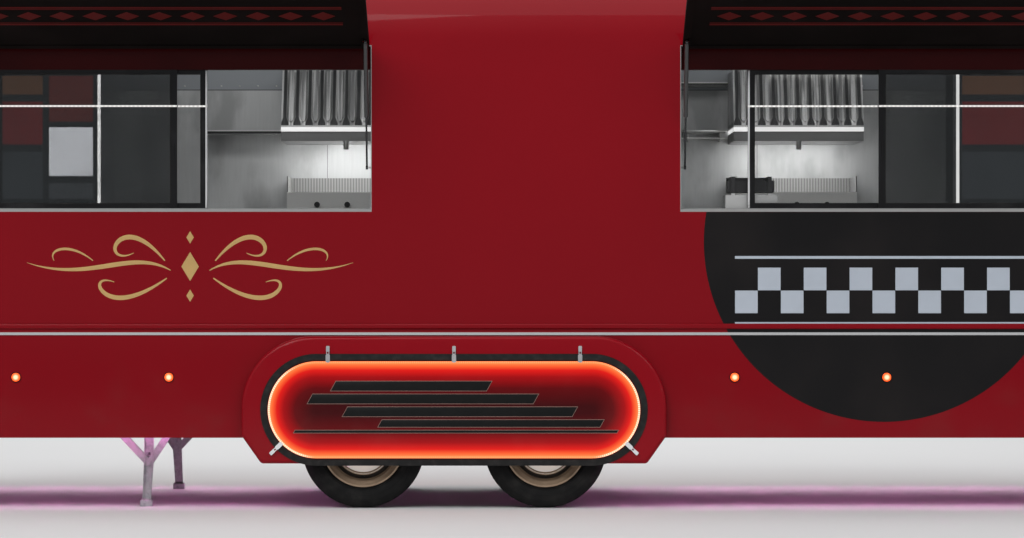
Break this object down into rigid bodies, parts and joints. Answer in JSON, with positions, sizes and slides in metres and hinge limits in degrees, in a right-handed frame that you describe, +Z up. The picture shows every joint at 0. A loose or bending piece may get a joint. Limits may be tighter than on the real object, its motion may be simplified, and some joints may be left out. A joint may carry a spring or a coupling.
{
  "type": "twin-axle catering trailer",
  "caption": "Round-cornered towed kitchen trailer with gas-strutted service hatches, oval wheel covers, steadies, jockey wheel and ball coupling.",
  "frame": {"origin": "centre of the tow ball in the coupling, on the trailer's middle line", "axes": "+X forward to the tow vehicle, -Y to the service side, +Z up"},
  "size_m": [8.837, 3.2079, 2.87],
  "materials": {
    "red_gloss": "high gloss crimson",
    "black_gloss": "gloss black",
    "stainless": "brushed stainless",
    "aluminium": "satin",
    "zinc": "zinc plated",
    "glass": "clear",
    "rubber": "matt",
    "tyre": "matt",
    "chrome": "polished",
    "lit_orange": "lit lens",
    "red_lens": "lens",
    "black_plastic": "matt",
    "white_plastic": "matt",
    "floor_vinyl": "studded",
    "lit_white": "lit strip",
    "lit_pink": "lit strip"
  },
  "bodies": {
    "root": {"rear_cap": "red_gloss", "front_cap": "red_gloss", "roof_shell": "red_gloss", "left_wall": "red_gloss", "service_wall": "red_gloss", "side_skirts": "red_gloss", "floor_deck": "floor_vinyl", "wheel_boxes": "black_plastic", "belt_trim": "aluminium", "opening_liners": "aluminium", "header_panels": "red_gloss", "window_sashes": "black_gloss", "window_glass": "glass", "menu_boards": "black_plastic", "hatch_hinges": "aluminium", "wheel_surrounds": "red_gloss", "cover_seals": "rubber", "cover_panels": "red_gloss", "led_rings": "lit_orange", "cover_latches": "chrome", "chassis_rails": "zinc", "cross_members": "zinc", "drawbar": "zinc", "coupling_head": "black_gloss", "axles": "zinc", "steadies": "zinc", "jockey_mount": "zinc", "door_hinges": "stainless", "side_markers": "lit_orange", "tail_lamps": "red_lens", "number_plate": "white_plastic", "service_counter": "stainless", "cooking_counter": "stainless", "hoods": "stainless", "wall_shelves": "stainless", "appliances": "stainless", "roof_cowls": "aluminium", "sash_lights": "lit_white", "underglow_strips": "lit_pink"},
    "wheel_right_rear": {"tyre_right_rear": "tyre", "rim_right_rear": "chrome"},
    "wheel_right_front": {"tyre_right_front": "tyre", "rim_right_front": "chrome"},
    "wheel_left_rear": {"tyre_left_rear": "tyre", "rim_left_rear": "chrome"},
    "wheel_left_front": {"tyre_left_front": "tyre", "rim_left_front": "chrome"},
    "hatch_rear": {"hatch_rear": "black_gloss"},
    "strut_tubes_rear": {"strut_tubes_rear": "black_gloss"},
    "strut_rods_rear": {"strut_rods_rear": "chrome"},
    "hatch_front": {"hatch_front": "black_gloss"},
    "strut_tubes_front": {"strut_tubes_front": "black_gloss"},
    "strut_rods_front": {"strut_rods_front": "chrome"},
    "entry_door": {"entry_door": "red_gloss", "door_glass": "glass"},
    "jockey_fork": {"jockey_fork": "zinc"},
    "jockey_wheel": {"jockey_wheel": "rubber"}
  },
  "joints": [
    {"name": "spin_right_rear", "type": "hinge", "parent": "root", "child": "wheel_right_rear", "pos_m": [-5.82, -1.04, -0.1125], "axis": [0, 1, 0], "continuous": true},
    {"name": "spin_right_front", "type": "hinge", "parent": "root", "child": "wheel_right_front", "pos_m": [-4.88, -1.04, -0.1125], "axis": [0, 1, 0], "continuous": true},
    {"name": "spin_left_rear", "type": "hinge", "parent": "root", "child": "wheel_left_rear", "pos_m": [-5.82, 1.04, -0.1125], "axis": [0, 1, 0], "continuous": true},
    {"name": "spin_left_front", "type": "hinge", "parent": "root", "child": "wheel_left_front", "pos_m": [-4.88, 1.04, -0.1125], "axis": [0, 1, 0], "continuous": true},
    {"name": "hatch_rear_hinge", "type": "hinge", "parent": "root", "child": "hatch_rear", "pos_m": [-6.83, -1.164, 1.97], "axis": [-1, 0, 0], "range_deg": [-110, 0]},
    {"name": "strut_rear_pivot", "type": "hinge", "parent": "hatch_rear", "child": "strut_tubes_rear", "pos_m": [-6.83, -1.32753, 1.95928], "axis": [-1, 0, 0], "range_deg": [0, 130.5]},
    {"name": "strut_rear_slide", "type": "slide", "parent": "strut_tubes_rear", "child": "strut_rods_rear", "axis": [0, -0.3407, 0.9402], "range_m": [0, 0.1805]},
    {"name": "hatch_front_hinge", "type": "hinge", "parent": "root", "child": "hatch_front", "pos_m": [-3.13, -1.164, 1.97], "axis": [-1, 0, 0], "range_deg": [-110, 0]},
    {"name": "strut_front_pivot", "type": "hinge", "parent": "hatch_front", "child": "strut_tubes_front", "pos_m": [-3.13, -1.32753, 1.95928], "axis": [-1, 0, 0], "range_deg": [0, 130.5]},
    {"name": "strut_front_slide", "type": "slide", "parent": "strut_tubes_front", "child": "strut_rods_front", "axis": [0, -0.3407, 0.9402], "range_m": [0, 0.1805]},
    {"name": "entry_door_hinge", "type": "hinge", "parent": "root", "child": "entry_door", "pos_m": [-8.744, 0.401, 1.07], "axis": [0, 0, -1], "range_deg": [0, 110]},
    {"name": "jockey_swivel", "type": "hinge", "parent": "root", "child": "jockey_fork", "pos_m": [-0.79, 0.3303, -0.13], "axis": [0, 0, 1], "continuous": true},
    {"name": "jockey_roll", "type": "hinge", "parent": "jockey_fork", "child": "jockey_wheel", "pos_m": [-0.835, 0.3303, -0.33], "axis": [0, 1, 0], "continuous": true}
  ],
  "couplings": [
    {"joint": "strut_rear_pivot", "follows": "hatch_rear_hinge", "ratio": -1.1811},
    {"joint": "strut_rear_slide", "follows": "hatch_rear_hinge", "m_per_rad": -0.093546},
    {"joint": "strut_front_pivot", "follows": "hatch_front_hinge", "ratio": -1.1811},
    {"joint": "strut_front_slide", "follows": "hatch_front_hinge", "m_per_rad": -0.093546}
  ]
}
